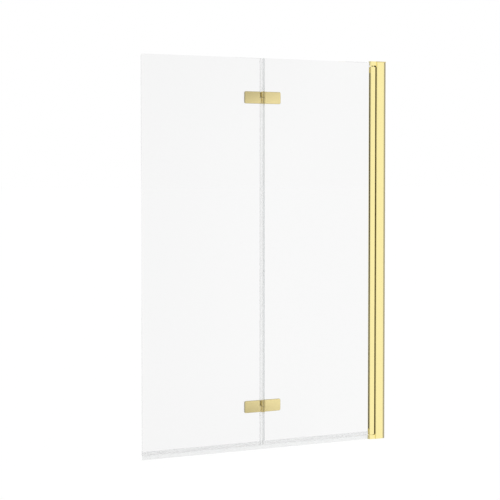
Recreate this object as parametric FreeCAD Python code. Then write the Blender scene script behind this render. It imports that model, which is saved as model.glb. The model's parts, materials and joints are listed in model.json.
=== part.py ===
import FreeCAD, Part
import math
import os

# Two-pane folding bath screen, in millimetres.
# X runs along the bath rim with the wall at x = 0, the panes lie towards -X.
# Y runs across the glass with the room at -Y and the bath at +Y, Z is up from the rim.

# Driving dimensions of the whole screen
overall_height = 1400.0
overall_width = 1000.0
outer_pane_width = 470.5
pane_gap = 10.0
glass_thickness = 6.0
glass_top_drop = 4.0
glass_corner_radius = 5.0
glass_arris = 0.4
rim_clearance = 0.8

# Clearances and the one overrun that every cut uses
overrun = 2.0
running_clearance = 0.05
thread_clearance = 0.05
sliding_clearance = 0.2
swing_clearance = 0.4
axial_play = 0.2

# Wall channel, screwed to the wall
channel_width = 18.0
channel_wall = 1.8
channel_base = 2.5
wall_hole_radius = 2.5
wall_hole_inset = 80.0
wall_hole_count = 4

# Jamb profile, which slides over the wall channel
jamb_reach = 40.5
jamb_setback = 8.5
jamb_web = 2.5
jamb_flange = 1.8
jamb_corner_radius = 1.5
jamb_seal_thickness = 1.2
jamb_seal_width = 10.0
cap_thickness = 3.0
cap_plug_depth = 8.0
end_chamfer = 0.4

# Screws that set the jamb on the channel, on the bath side
jamb_screw_radius = 2.0
jamb_screw_length = 9.0
jamb_screw_head_radius = 4.0
jamb_screw_head_height = 2.2
jamb_screw_socket = 2.5
jamb_screw_socket_depth = 1.2
jamb_screw_inset = 140.0
jamb_screw_count = 3
jamb_slot_length = 18.0
screw_cap_wall = 1.2
screw_cap_dome = 1.0

# Pivot post and its end blocks
post_width = 19.8
post_depth = 16.0
post_corner_radius = 0.5
top_gap = 5.0
top_block_height = 15.5
bottom_block_height = 15.6
pivot_pin_radius = 3.0
pivot_pin_floor = 3.0
bush_half_width = 5.0
bush_length = 22.0
pin_lead_in = 0.6
pin_shortfall = 3.0
glazing_gasket = 1.2
edge_gasket = 2.5
notch_clearance = 0.5
washer_thickness = 1.5
washer_inset = 1.0
collar_inset = 0.5

# Screws that hold the blocks to the jamb
block_screw_radius = 2.0
block_screw_depth = 8.0
block_screw_spread = 5.0
block_screw_head_radius = 3.4
block_screw_head_height = 2.2
block_screw_socket = 2.5
block_screw_socket_depth = 1.2
head_room = 6.0

# Hinges between the panes
hinge_inset = 140.0
leaf_width = 61.7
leaf_height = 43.0
leaf_thickness = 5.0
leaf_corner_radius = 6.0
leaf_edge_chamfer = 1.2
leaf_gasket = 1.0
leaf_gasket_inset = 4.0
fold_gap = 2.0
knuckle_radius = 7.0
knuckle_clearance = 1.6
knuckle_chamfer = 0.8
neck_length = 12.3
neck_thickness = 3.0
hinge_pin_radius = 3.0
hinge_washer_thickness = 1.0
hinge_washer_inset = 1.5
back_plate_width = 40.0
back_plate_height = 31.0
back_plate_thickness = 4.0
back_plate_corner_radius = 4.0
back_plate_edge_chamfer = 0.5
leaf_screw_radius = 2.5
leaf_screw_spread = 11.0
leaf_screw_head_radius = 4.8
leaf_screw_head_height = 2.3
leaf_screw_socket = 3.0
leaf_screw_socket_depth = 1.6
leaf_screw_bite = 3.4
blind_hole_extra = 0.4
sleeve_wall = 2.3
sleeve_clearance = 0.2

# Seals on the panes
bottom_seal_leg = 12.5
bottom_seal_wall = 1.0
bottom_seal_web = 1.5
bottom_fin_thickness = 1.2
middle_seal_leg = 5.8
middle_seal_wall = 0.8
middle_fin_reach = 11.6
middle_fin_clearance = 0.3
seal_stop = 0.5
fold_seal_gap = 0.2

# Places worked out from the sizes above
half_glass = glass_thickness / 2
profile_top = overall_height - cap_thickness
jamb_half = channel_width / 2 + sliding_clearance + jamb_flange
channel_reach = jamb_reach - jamb_web - head_room
post_corner = math.hypot(post_width / 2 - post_corner_radius, post_depth / 2 - post_corner_radius)
post_swing = post_corner + post_corner_radius
post_gap = post_swing - post_width / 2 + jamb_seal_thickness + swing_clearance
post_right = -jamb_reach - post_gap
post_axis = post_right - post_width / 2
post_left = post_axis - post_width / 2
post_bottom = bottom_block_height + washer_thickness + axial_play
post_top = overall_height - top_block_height - top_gap
slot_half = half_glass + glazing_gasket
slot_end = post_axis + bush_half_width
bush_left = post_axis - bush_half_width
glass_bottom = post_bottom
glass_top = overall_height - glass_top_drop
outer_edge = -overall_width
outer_inner_edge = outer_edge + outer_pane_width
inner_edge = outer_inner_edge + pane_gap
inner_post_edge = slot_end - edge_gasket
fold_axis_x = outer_inner_edge + pane_gap / 2
leaf_back = -half_glass - leaf_gasket
leaf_front = leaf_back - leaf_thickness
fold_axis_y = leaf_front - fold_gap / 2
leaf_middle = neck_length + leaf_width / 2
back_plate_inner = half_glass + leaf_gasket
back_plate_outer = back_plate_inner + back_plate_thickness
sleeve_radius = leaf_screw_radius + thread_clearance + sleeve_wall
block_glass_edge = post_axis - post_swing - swing_clearance
jamb_screw_x = -(jamb_setback + channel_reach) / 2
hinge_heights = {"lower": glass_bottom + hinge_inset, "upper": glass_top - hinge_inset}
along_x = FreeCAD.Vector(1, 0, 0)
along_y = FreeCAD.Vector(0, 1, 0)
along_z = FreeCAD.Vector(0, 0, 1)
straight_share = 0.999
near = 1e-4
hexagon_sides = 6


def block(x_low, x_high, y_low, y_high, z_low, z_high):
    """A box between two corners."""
    corner = FreeCAD.Vector(x_low, y_low, z_low)
    return Part.makeBox(x_high - x_low, y_high - y_low, z_high - z_low, corner)


def rod(radius, x, y, z, direction, length):
    """A cylinder from a start point along a direction."""
    return Part.makeCylinder(radius, length, FreeCAD.Vector(x, y, z), direction)


def prism(points, travel):
    """A closed outline of points pushed along a vector."""
    outline = [FreeCAD.Vector(*point) for point in points]
    return Part.Face(Part.makePolygon(outline + outline[:1])).extrude(travel)


def hexagon(across_flats, centre, direction, depth):
    """A six-sided prism, for a screw's socket."""
    corner_radius = across_flats / (2 * math.cos(math.pi / hexagon_sides))
    side = direction.cross(along_z) if abs(direction.z) < straight_share else along_x
    other = direction.cross(side)
    points = []
    for index in range(hexagon_sides):
        angle = 2 * math.pi * index / hexagon_sides
        spoke = side * math.cos(angle) + other * math.sin(angle)
        points.append(centre + spoke * corner_radius)
    return Part.Face(Part.makePolygon(points + points[:1])).extrude(direction * depth)


def runs_along(edge, direction):
    """Whether an edge is a straight line along a direction."""
    if not isinstance(edge.Curve, Part.Line):
        return False
    return abs(edge.Curve.Direction.dot(direction)) > straight_share


def round_edges(shape, radius, direction, wanted):
    """Fillet the straight edges along a direction whose middle is wanted."""
    chosen = [e for e in shape.Edges if runs_along(e, direction) and wanted(e.CenterOfMass)]
    return shape.makeFillet(radius, chosen)


def bevel_faces(shape, size, levels):
    """Chamfer every edge that lies wholly at one of the Y levels."""
    chosen = []
    for edge in shape.Edges:
        for level in levels:
            if all(abs(v.Y - level) < near for v in edge.Vertexes):
                chosen.append(edge)
    return shape.makeChamfer(size, chosen)


def bevel_ends(shape, size, heights, wanted):
    """Chamfer the edges that lie wholly at one of the heights and whose middle is wanted."""
    chosen = []
    for edge in shape.Edges:
        for height in heights:
            level = all(abs(v.Z - height) < near for v in edge.Vertexes)
            if level and wanted(edge.CenterOfMass):
                chosen.append(edge)
    return shape.makeChamfer(size, chosen)


def evenly(low, high, count):
    """Evenly spaced places from low to high."""
    return [low + (high - low) * index / (count - 1) for index in range(count)]


def wall_hole_heights():
    return evenly(wall_hole_inset, profile_top - wall_hole_inset, wall_hole_count)


def jamb_screw_heights():
    return evenly(jamb_screw_inset, profile_top - jamb_screw_inset, jamb_screw_count)


def make_wall_channel():
    """U-shaped extrusion with holes for the wall screws and for the jamb screws."""
    half = channel_width / 2
    inner = half - channel_wall
    shape = block(-channel_reach, 0, -half, half, 0, profile_top)
    hollow_low = -channel_reach - overrun
    shape = shape.cut(block(hollow_low, -channel_base, -inner, inner, -overrun, profile_top + overrun))
    for z in wall_hole_heights():
        drill = channel_base + 2 * overrun
        shape = shape.cut(rod(wall_hole_radius, -channel_base - overrun, 0, z, along_x, drill))
    for z in jamb_screw_heights():
        drill = channel_wall + overrun
        radius = jamb_screw_radius + thread_clearance
        shape = shape.cut(rod(radius, jamb_screw_x, inner - overrun / 2, z, along_y, drill))
    return shape


def make_jamb_profile():
    """C-shaped extrusion, open to the wall, with adjusting slots on the bath side."""
    shape = block(-jamb_reach, -jamb_setback, -jamb_half, jamb_half, 0, profile_top)
    shape = round_edges(shape, jamb_corner_radius, along_z, lambda p: p.x < -jamb_reach + near)
    inner = jamb_half - jamb_flange
    web_face = -jamb_reach + jamb_web
    shape = shape.cut(block(web_face, overrun, -inner, inner, -overrun, profile_top + overrun))
    radius = jamb_screw_radius + sliding_clearance
    half_slot = jamb_slot_length / 2 - radius
    drill = jamb_flange + overrun
    start = inner - overrun / 2
    for z in jamb_screw_heights():
        for x in (jamb_screw_x - half_slot, jamb_screw_x + half_slot):
            shape = shape.cut(rod(radius, x, start, z, along_y, drill))
        low, high = jamb_screw_x - half_slot, jamb_screw_x + half_slot
        shape = shape.cut(block(low, high, start, start + drill, z - radius, z + radius))
    for z in (bottom_block_height / 2, overall_height - top_block_height / 2):
        shape = shape.cut(block_screw_holes(z, sliding_clearance, jamb_web + overrun, web_face))
    return shape


def block_screw_holes(z, clearance, depth, start_x):
    """Two holes across the blocks, running from start_x away from the wall."""
    holes = []
    for y in (-block_screw_spread, block_screw_spread):
        start = start_x + overrun / 2
        holes.append(rod(block_screw_radius + clearance, start, y, z, -along_x, depth))
    return Part.makeCompound(holes)


def make_top_cap():
    """Cap over the ends of jamb and channel, with a plug inside the channel."""
    plate = block(-jamb_reach, 0, -jamb_half, jamb_half, profile_top, overall_height)
    plate = round_edges(plate, jamb_corner_radius, along_z, lambda p: p.x < -jamb_reach + near)
    plate = bevel_ends(plate, end_chamfer, (overall_height,), lambda p: p.x < -near)
    half = channel_width / 2 - channel_wall - sliding_clearance
    high = -channel_base - sliding_clearance
    plug = block(-channel_reach, high, -half, half, profile_top - cap_plug_depth, profile_top)
    return plate.fuse(plug).removeSplitter()


def make_jamb_seal():
    """Flat strip on the jamb's face that closes the gap to the turning post."""
    half = jamb_seal_width / 2
    low = -jamb_reach - jamb_seal_thickness
    return block(low, -jamb_reach, -half, half, bottom_block_height, overall_height - top_block_height)


def make_pivot_block(z_low, z_high, pin_low, pin_high):
    """Block beside the jamb that holds a pivot pin and takes two screws."""
    half = post_depth / 2
    shape = block(post_left, -jamb_reach, -half, half, z_low, z_high)
    shape = round_edges(shape, post_corner_radius, along_z, lambda p: p.x < post_left + near)
    shape = bevel_ends(shape, end_chamfer, (z_low, z_high), lambda p: p.x < -jamb_reach - near)
    hole = rod(pivot_pin_radius, post_axis, 0, pin_low, along_z, pin_high - pin_low)
    drill = block_screw_depth + overrun
    screws = block_screw_holes((z_low + z_high) / 2, thread_clearance, drill, -jamb_reach)
    return shape.cut(hole).cut(screws)


def make_pin(radius, x, y, z_low, z_high):
    """Steel pin with a small lead-in at both ends."""
    pin = rod(radius, x, y, z_low, along_z, z_high - z_low)
    rims = [e for e in pin.Edges if isinstance(e.Curve, Part.Circle)]
    return pin.makeChamfer(pin_lead_in, rims)


def make_ring(outer, inner, x, y, z, thickness):
    """Washer or collar that lies level."""
    ring = rod(outer, x, y, z, along_z, thickness)
    return ring.cut(rod(inner, x, y, z - overrun, along_z, thickness + 2 * overrun))


def make_socket_screw(radius, length, head_radius, head_height, socket, socket_depth, seat, direction):
    """Cheese-head screw: the head sits on the seat and the shank runs along the direction."""
    shank = Part.makeCylinder(radius, length, seat, direction)
    head = Part.makeCylinder(head_radius, head_height, seat - direction * head_height, direction)
    recess = hexagon(socket, seat - direction * head_height, direction, socket_depth)
    return head.fuse(shank).removeSplitter().cut(recess)


def make_block_screws(z):
    """Two screws from inside the jamb into a pivot block."""
    seat_x = -jamb_reach + jamb_web
    length = jamb_web + block_screw_depth - overrun / 2
    screws = []
    for y in (-block_screw_spread, block_screw_spread):
        seat = FreeCAD.Vector(seat_x, y, z)
        screws.append(
            make_socket_screw(
                block_screw_radius,
                length,
                block_screw_head_radius,
                block_screw_head_height,
                block_screw_socket,
                block_screw_socket_depth,
                seat,
                -along_x,
            )
        )
    return Part.makeCompound(screws)


def make_jamb_screws():
    """Screws through the jamb's slots into the wall channel."""
    screws = []
    for z in jamb_screw_heights():
        seat = FreeCAD.Vector(jamb_screw_x, jamb_half, z)
        screws.append(
            make_socket_screw(
                jamb_screw_radius,
                jamb_screw_length,
                jamb_screw_head_radius,
                jamb_screw_head_height,
                jamb_screw_socket,
                jamb_screw_socket_depth,
                seat,
                -along_y,
            )
        )
    return Part.makeCompound(screws)


def make_jamb_screw_caps():
    """Domed plastic caps that cover the jamb screws' heads and slots."""
    inner_radius = jamb_screw_head_radius + sliding_clearance
    radius = max(inner_radius, jamb_slot_length / 2) + screw_cap_wall
    depth = jamb_screw_head_height + sliding_clearance
    caps = []
    for z in jamb_screw_heights():
        cap = rod(radius, jamb_screw_x, jamb_half, z, along_y, depth + screw_cap_wall)
        rims = [e for e in cap.Edges if isinstance(e.Curve, Part.Circle)]
        outer = [e for e in rims if e.CenterOfMass.y > jamb_half + near]
        cap = cap.makeFillet(screw_cap_dome, outer)
        caps.append(cap.cut(rod(inner_radius, jamb_screw_x, jamb_half, z, along_y, depth)))
    return Part.makeCompound(caps)


def make_pivot_post():
    """Extruded post with a slot for the glass along its free side."""
    half = post_depth / 2
    shape = block(post_left, post_right, -half, half, post_bottom, post_top)
    shape = round_edges(shape, post_corner_radius, along_z, lambda p: True)
    z_low, z_high = post_bottom - overrun, post_top + overrun
    return shape.cut(block(post_left - overrun, slot_end, -slot_half, slot_half, z_low, z_high))


def make_post_bush(z_low):
    """Plug in an end of the post's slot that turns on a pivot pin."""
    shape = block(bush_left, slot_end, -slot_half, slot_half, z_low, z_low + bush_length)
    radius = pivot_pin_radius + running_clearance
    return shape.cut(rod(radius, post_axis, 0, z_low - overrun, along_z, bush_length + 2 * overrun))


def make_post_gasket():
    """U-shaped gasket between the post's slot and the inner glass."""
    z_low, z_high = post_bottom + bush_length, post_top - bush_length
    shape = block(post_left, slot_end, -slot_half, slot_half, z_low, z_high)
    low, high = z_low - overrun, z_high + overrun
    return shape.cut(block(post_left - overrun, inner_post_edge, -half_glass, half_glass, low, high))


def screw_offsets():
    """Distances of a leaf's screws from the fold axis."""
    return (leaf_middle - leaf_screw_spread, leaf_middle + leaf_screw_spread)


def drill_glass(glass, side):
    """Holes for the screw sleeves of both hinges."""
    radius = sleeve_radius + sleeve_clearance
    length = glass_thickness + 2 * overrun
    for z in hinge_heights.values():
        for offset in screw_offsets():
            x = fold_axis_x + side * offset
            glass = glass.cut(rod(radius, x, -half_glass - overrun, z, along_y, length))
    return glass


def make_inner_glass():
    """Pane between post and fold, notched for the bushes and for the top block."""
    bush_edge = bush_left - notch_clearance
    bush_top = post_bottom + bush_length + notch_clearance
    bush_low = post_top - bush_length - notch_clearance
    outline = [
        (inner_edge, glass_bottom),
        (bush_edge, glass_bottom),
        (bush_edge, bush_top),
        (inner_post_edge, bush_top),
        (inner_post_edge, bush_low),
        (bush_edge, bush_low),
        (bush_edge, post_top),
        (block_glass_edge, post_top),
        (block_glass_edge, glass_top),
        (inner_edge, glass_top),
    ]
    points = [(x, -half_glass, z) for x, z in outline]
    glass = prism(points, along_y * glass_thickness)
    glass = bevel_faces(glass, glass_arris, (-half_glass, half_glass))
    return drill_glass(glass, 1)


def make_outer_glass():
    """Free pane with lightly rounded corners at its free edge."""
    glass = block(outer_edge, outer_inner_edge, -half_glass, half_glass, glass_bottom, glass_top)
    glass = round_edges(glass, glass_corner_radius, along_y, lambda p: p.x < outer_edge + near)
    glass = bevel_faces(glass, glass_arris, (-half_glass, half_glass))
    return drill_glass(glass, -1)


def make_bottom_seal(x_low, x_high, fin_low, fin_high):
    """Clip-on seal: two legs on the glass and a fin down to the rim."""
    leg_top = glass_bottom + bottom_seal_leg
    web_low = glass_bottom - bottom_seal_web
    outer = half_glass + bottom_seal_wall
    half_fin = bottom_fin_thickness / 2
    outline = [
        (-outer, web_low),
        (-half_fin, web_low),
        (-half_fin, rim_clearance),
        (half_fin, rim_clearance),
        (half_fin, web_low),
        (outer, web_low),
        (outer, glass_bottom),
        (-outer, glass_bottom),
    ]
    seal = prism([(fin_low, y, z) for y, z in outline], along_x * (fin_high - fin_low))
    for y_low in (-outer, half_glass):
        leg = block(x_low, x_high, y_low, y_low + bottom_seal_wall, glass_bottom, leg_top)
        seal = seal.fuse(leg)
    return seal.removeSplitter()


def make_middle_seal():
    """Clip-on seal on the inner pane's edge, with a fin behind the outer pane."""
    leg_end = inner_edge + middle_seal_leg
    outer = half_glass + middle_seal_wall
    web = inner_edge - middle_seal_wall
    fin_front = half_glass + bottom_seal_wall + middle_fin_clearance
    fin_back = fin_front + middle_seal_wall
    fin = [
        (inner_edge, fin_back),
        (web - middle_fin_reach, fin_back),
        (web - middle_fin_reach, fin_front),
        (web, fin_front),
        (web, -outer),
        (inner_edge, -outer),
    ]
    foot = glass_bottom + seal_stop
    seal = prism([(x, y, foot) for x, y in fin], along_z * (glass_top - foot))
    leg_low = glass_bottom + bottom_seal_leg + seal_stop
    for y_low in (-outer, half_glass):
        leg = block(inner_edge, leg_end, y_low, y_low + middle_seal_wall, leg_low, glass_top)
        seal = seal.fuse(leg)
    return seal.removeSplitter()


def leaf_span(side, near_offset, far_offset):
    """X limits of a stretch of a leaf, from offsets off the fold axis."""
    ends = (fold_axis_x + side * near_offset, fold_axis_x + side * far_offset)
    return min(ends), max(ends)


def make_leaf(side, up, z):
    """Front plate of a hinge with its knuckle, on a recessed neck if up and on a level one if not."""
    half = leaf_height / 2
    washer_half = hinge_washer_thickness / 2
    x_low, x_high = leaf_span(side, neck_length, neck_length + leaf_width)
    far_x = fold_axis_x + side * (neck_length + leaf_width)
    near_x = fold_axis_x + side * neck_length
    plate = block(x_low, x_high, leaf_front, leaf_back, z - half, z + half)
    plate = round_edges(plate, leaf_corner_radius, along_y, lambda p: abs(p.x - far_x) < near)
    rim = []
    for edge in plate.Edges:
        if all(abs(v.Y - leaf_front) < near for v in edge.Vertexes):
            if abs(edge.CenterOfMass.x - near_x) > near:
                rim.append(edge)
    plate = plate.makeChamfer(leaf_edge_chamfer, rim)
    own = (z + washer_half, z + half) if up else (z - half, z - washer_half)
    other = (z - half, z) if up else (z, z + half)
    x_low, x_high = leaf_span(side, 0, neck_length)
    neck_depth = neck_thickness if up else leaf_thickness
    neck = block(x_low, x_high, leaf_back - neck_depth, leaf_back, own[0], own[1])
    x_low, x_high = leaf_span(side, knuckle_radius + knuckle_clearance, neck_length)
    tongue = block(x_low, x_high, leaf_front, leaf_back, other[0], other[1])
    knuckle = rod(knuckle_radius, fold_axis_x, fold_axis_y, own[0], along_z, own[1] - own[0])
    outer_z = own[1] if up else own[0]
    rims = [e for e in knuckle.Edges if isinstance(e.Curve, Part.Circle)]
    rims = [e for e in rims if abs(e.CenterOfMass.z - outer_z) < near]
    knuckle = knuckle.makeChamfer(knuckle_chamfer, rims)
    leaf = plate.fuse(neck).fuse(tongue).fuse(knuckle).removeSplitter()
    pin_room = running_clearance if up else 0
    bore_low = own[0] - overrun
    bore = rod(hinge_pin_radius + pin_room, fold_axis_x, fold_axis_y, bore_low, along_z, half + 2 * overrun)
    leaf = leaf.cut(bore)
    for offset in screw_offsets():
        x = fold_axis_x + side * offset
        depth = leaf_screw_bite + blind_hole_extra
        hole = rod(leaf_screw_radius + thread_clearance, x, leaf_back - depth, z, along_y, depth)
        leaf = leaf.cut(hole)
    return leaf


def make_back_plate(side, z):
    """Clamp plate on the bath side with countersunk holes."""
    x_low, x_high = leaf_span(side, leaf_middle - back_plate_width / 2, leaf_middle + back_plate_width / 2)
    half = back_plate_height / 2
    plate = block(x_low, x_high, back_plate_inner, back_plate_outer, z - half, z + half)
    plate = round_edges(plate, back_plate_corner_radius, along_y, lambda p: True)
    plate = bevel_faces(plate, back_plate_edge_chamfer, (back_plate_outer,))
    for offset in screw_offsets():
        plate = plate.cut(leaf_screw_body(fold_axis_x + side * offset, z, thread_clearance))
    return plate


def leaf_screw_body(x, z, clearance):
    """Countersunk screw without its socket: a cone under the outer face and a straight shank."""
    seat = FreeCAD.Vector(x, back_plate_outer, z)
    tip = leaf_back - leaf_screw_bite
    length = back_plate_outer - tip
    shank = Part.makeCylinder(leaf_screw_radius + clearance, length, seat, -along_y)
    small, large = leaf_screw_radius + clearance, leaf_screw_head_radius + clearance
    head = Part.makeCone(large, small, leaf_screw_head_height, seat, -along_y)
    return shank.fuse(head).removeSplitter()


def make_leaf_screws(side, z):
    """The two countersunk screws that clamp a leaf to its pane."""
    screws = []
    for offset in screw_offsets():
        x = fold_axis_x + side * offset
        screw = leaf_screw_body(x, z, 0)
        top = FreeCAD.Vector(x, back_plate_outer, z)
        screws.append(screw.cut(hexagon(leaf_screw_socket, top, -along_y, leaf_screw_socket_depth)))
    return Part.makeCompound(screws)


def make_leaf_sleeves(side, z):
    """Plastic sleeves that keep the screws off the glass."""
    sleeves = []
    for offset in screw_offsets():
        x = fold_axis_x + side * offset
        sleeve = rod(sleeve_radius, x, -half_glass, z, along_y, glass_thickness)
        bore = rod(leaf_screw_radius + thread_clearance, x, -half_glass, z, along_y, glass_thickness)
        sleeves.append(sleeve.cut(bore))
    return Part.makeCompound(sleeves)


def make_leaf_gaskets(side, z):
    """Soft pads between the glass and the plates on both of its faces."""
    radius = leaf_screw_radius + thread_clearance
    half = leaf_height / 2 - leaf_gasket_inset
    reach = leaf_width / 2 - leaf_gasket_inset
    x_low, x_high = leaf_span(side, leaf_middle - reach, leaf_middle + reach)
    front = block(x_low, x_high, leaf_back, -half_glass, z - half, z + half)
    half = back_plate_height / 2
    x_low, x_high = leaf_span(side, leaf_middle - back_plate_width / 2, leaf_middle + back_plate_width / 2)
    back = block(x_low, x_high, half_glass, back_plate_inner, z - half, z + half)
    back = round_edges(back, back_plate_corner_radius, along_y, lambda p: True)
    for offset in screw_offsets():
        x = fold_axis_x + side * offset
        drill = rod(radius, x, leaf_back, z, along_y, back_plate_inner - leaf_back)
        front = front.cut(drill)
        back = back.cut(drill)
    return Part.makeCompound([front, back])


def wall_side_nodes():
    """Everything that stays on the wall."""
    top_low = overall_height - top_block_height
    top_pin = (post_top - bush_length + pin_shortfall, overall_height - pivot_pin_floor)
    bottom_pin = (pivot_pin_floor, post_bottom + bush_length - pin_shortfall)
    washer_radius = post_depth / 2 - washer_inset
    collar_radius = post_depth / 2 - collar_inset
    collar_low = post_top + axial_play
    hole_radius = pivot_pin_radius + sliding_clearance
    top_hole = (top_low - overrun, top_pin[1])
    bottom_hole = (bottom_pin[0], bottom_block_height + overrun)
    return {
        "wall_channel": make_wall_channel(),
        "jamb_profile": make_jamb_profile(),
        "jamb_seal": make_jamb_seal(),
        "top_cap": make_top_cap(),
        "top_pivot_block": make_pivot_block(top_low, overall_height, top_hole[0], top_hole[1]),
        "bottom_pivot_block": make_pivot_block(0, bottom_block_height, bottom_hole[0], bottom_hole[1]),
        "top_pivot_pin": make_pin(pivot_pin_radius, post_axis, 0, top_pin[0], top_pin[1]),
        "bottom_pivot_pin": make_pin(pivot_pin_radius, post_axis, 0, bottom_pin[0], bottom_pin[1]),
        "top_pivot_collar": make_ring(
            collar_radius, hole_radius, post_axis, 0, collar_low, top_low - collar_low
        ),
        "thrust_washer": make_ring(
            washer_radius, hole_radius, post_axis, 0, bottom_block_height, washer_thickness
        ),
        "top_block_screws": make_block_screws(overall_height - top_block_height / 2),
        "bottom_block_screws": make_block_screws(bottom_block_height / 2),
        "jamb_screws": make_jamb_screws(),
        "jamb_screw_caps": make_jamb_screw_caps(),
    }


def pane_nodes():
    """The post, the panes and their seals."""
    outer_fin = fold_axis_x - fold_seal_gap
    inner_fin = fold_axis_x + fold_seal_gap
    return {
        "pivot_post": make_pivot_post(),
        "top_post_bush": make_post_bush(post_top - bush_length),
        "bottom_post_bush": make_post_bush(post_bottom),
        "post_gasket": make_post_gasket(),
        "inner_glass": make_inner_glass(),
        "outer_glass": make_outer_glass(),
        "inner_bottom_seal": make_bottom_seal(inner_edge, block_glass_edge, inner_fin, block_glass_edge),
        "outer_bottom_seal": make_bottom_seal(outer_edge, outer_fin, outer_edge, outer_fin),
        "middle_seal": make_middle_seal(),
    }


def hinge_nodes(level, z):
    """One hinge: two clamped leaves, a pin and a washer."""
    washer_low = z - hinge_washer_thickness / 2
    washer_radius = knuckle_radius - hinge_washer_inset
    hole_radius = hinge_pin_radius + sliding_clearance
    half = leaf_height / 2
    nodes = {
        level + "_hinge_pin": make_pin(hinge_pin_radius, fold_axis_x, fold_axis_y, z - half, z + half),
        level + "_hinge_washer": make_ring(
            washer_radius, hole_radius, fold_axis_x, fold_axis_y, washer_low, hinge_washer_thickness
        ),
    }
    for pane, side in (("inner", 1), ("outer", -1)):
        start = level + "_" + pane + "_"
        nodes[start + "leaf"] = make_leaf(side, pane == "outer", z)
        nodes[start + "back_plate"] = make_back_plate(side, z)
        nodes[start + "screws"] = make_leaf_screws(side, z)
        nodes[start + "sleeves"] = make_leaf_sleeves(side, z)
        nodes[start + "gaskets"] = make_leaf_gaskets(side, z)
    return nodes


def main():
    os.makedirs("parts", exist_ok=True)
    nodes = {**wall_side_nodes(), **pane_nodes()}
    for level, z in hinge_heights.items():
        nodes.update(hinge_nodes(level, z))
    for name, shape in nodes.items():
        shape.exportStep("parts/" + name + ".step")
        print(name, len(shape.Solids), round(shape.Volume), shape.isValid())
    print("post axis", post_axis, "fold axis", fold_axis_x, fold_axis_y)


main()
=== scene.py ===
import json
import math

import bmesh
import bpy
import numpy as np
from bpy.props import FloatProperty, FloatVectorProperty, IntProperty, PointerProperty
from bpy.types import Operator, Panel, PropertyGroup
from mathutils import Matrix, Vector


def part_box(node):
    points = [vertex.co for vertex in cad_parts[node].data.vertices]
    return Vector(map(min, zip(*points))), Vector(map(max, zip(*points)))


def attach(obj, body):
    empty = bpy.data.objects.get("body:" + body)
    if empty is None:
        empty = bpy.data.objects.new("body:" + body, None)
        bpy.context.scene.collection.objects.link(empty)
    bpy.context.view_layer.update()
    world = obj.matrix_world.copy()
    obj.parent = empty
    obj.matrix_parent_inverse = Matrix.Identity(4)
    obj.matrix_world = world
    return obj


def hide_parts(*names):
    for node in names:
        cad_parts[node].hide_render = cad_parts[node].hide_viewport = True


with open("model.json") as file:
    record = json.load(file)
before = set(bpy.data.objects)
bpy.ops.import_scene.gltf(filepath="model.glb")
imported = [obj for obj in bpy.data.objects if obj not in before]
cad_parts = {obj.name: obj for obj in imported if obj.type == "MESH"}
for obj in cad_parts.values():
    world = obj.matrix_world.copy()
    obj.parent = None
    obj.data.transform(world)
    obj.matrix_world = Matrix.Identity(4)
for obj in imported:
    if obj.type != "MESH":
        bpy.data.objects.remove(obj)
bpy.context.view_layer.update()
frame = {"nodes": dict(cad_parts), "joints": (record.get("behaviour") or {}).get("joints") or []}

bl_info = {
    "name": "Folding bath screen",
    "version": (1, 0, 0),
    "blender": (4, 5, 0),
    "location": "View3D > Sidebar > Bath screen",
    "description": "Finishes, seals, hinge leaves and a plain stage for the packed folding bath screen",
    "category": "Object",
}

# Metres in a millimetre
MM = 0.001

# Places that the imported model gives, in metres
joints = {joint["name"]: joint for joint in frame["joints"]}
fold_x, fold_y = joints["leaf_fold"]["pos_m"][:2]
outer_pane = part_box("outer_glass")
inner_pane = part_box("inner_glass")
half_glass = outer_pane[1].y
glass_foot = outer_pane[0].z

# Points and rings of the meshes
PLATE_CORNER_POINTS = 24
PLATE_FRONT_RINGS = 18
PLATE_RIM_RINGS = 7
PLATE_BACK_RINGS = 6
KNUCKLE_CORNER_POINTS = 7
KNUCKLE_STEPS = 72
NECK_CORNER_POINTS = 5
PAD_OUTLINE_POINTS = 160
PAD_CORNER_POINTS = 12
PAD_RIM_RINGS = 9
PAD_FACE_RINGS = 4
SEAL_CORNER_POINTS = 6
RIB_POINTS = 12
SHEET_POINTS = 65
WELD_GAP = 0.002 * MM
SHARP_ANGLE = math.radians(35)

# Lines of drawn or brushed surfaces, per metre along x, y and z
UPRIGHT_LINES = (700.0, 700.0, 1.5)
LEVEL_LINES = (14.0, 900.0, 2600.0)
EVEN_LINES = (900.0, 900.0, 900.0)
PANE_LINES = (6.0, 900.0, 900.0)
FOLD_LINES = (900.0, 900.0, 6.0)

# Metals: least and most roughness, lines and their depth
METALS = {
    "polished_gold": ((0.04, 0.1), UPRIGHT_LINES, 0.01 * MM),
    # Satin gold is rougher, and its darker colour is painted shade on the recessed wall channel and on the
    # leaves' rims and necks
    "satin_gold": ((0.3, 0.4), UPRIGHT_LINES, 0.02 * MM),
    "brushed_gold": ((0.2, 0.28), LEVEL_LINES, 0.03 * MM),
    # The knuckles' gold is rougher than the leaves' and darker in colour; the darker colour is painted shade
    # on the knuckles
    "turned_gold": ((0.4, 0.5), LEVEL_LINES, 0.02 * MM),
    "steel": ((0.2, 0.35), EVEN_LINES, 0.02 * MM),
}
METAL_MOTTLE_SCALE = 14.0
METAL_MOTTLE_DEPTH = 0.04
METAL_RELIEF = 0.15

# Solid plastics: least and most roughness, grains per metre and their depth
PLASTICS = {
    "dark_seal": ((0.5, 0.7), 1800.0, 0.05 * MM),
    "nylon": ((0.4, 0.5), 1200.0, 0.03 * MM),
    "cap_plastic": ((0.22, 0.32), 900.0, 0.02 * MM),
}
PLASTIC_MOTTLE_SCALE = 40.0
PLASTIC_MOTTLE_DEPTH = 0.08
PLASTIC_RELIEF = 0.3

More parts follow.
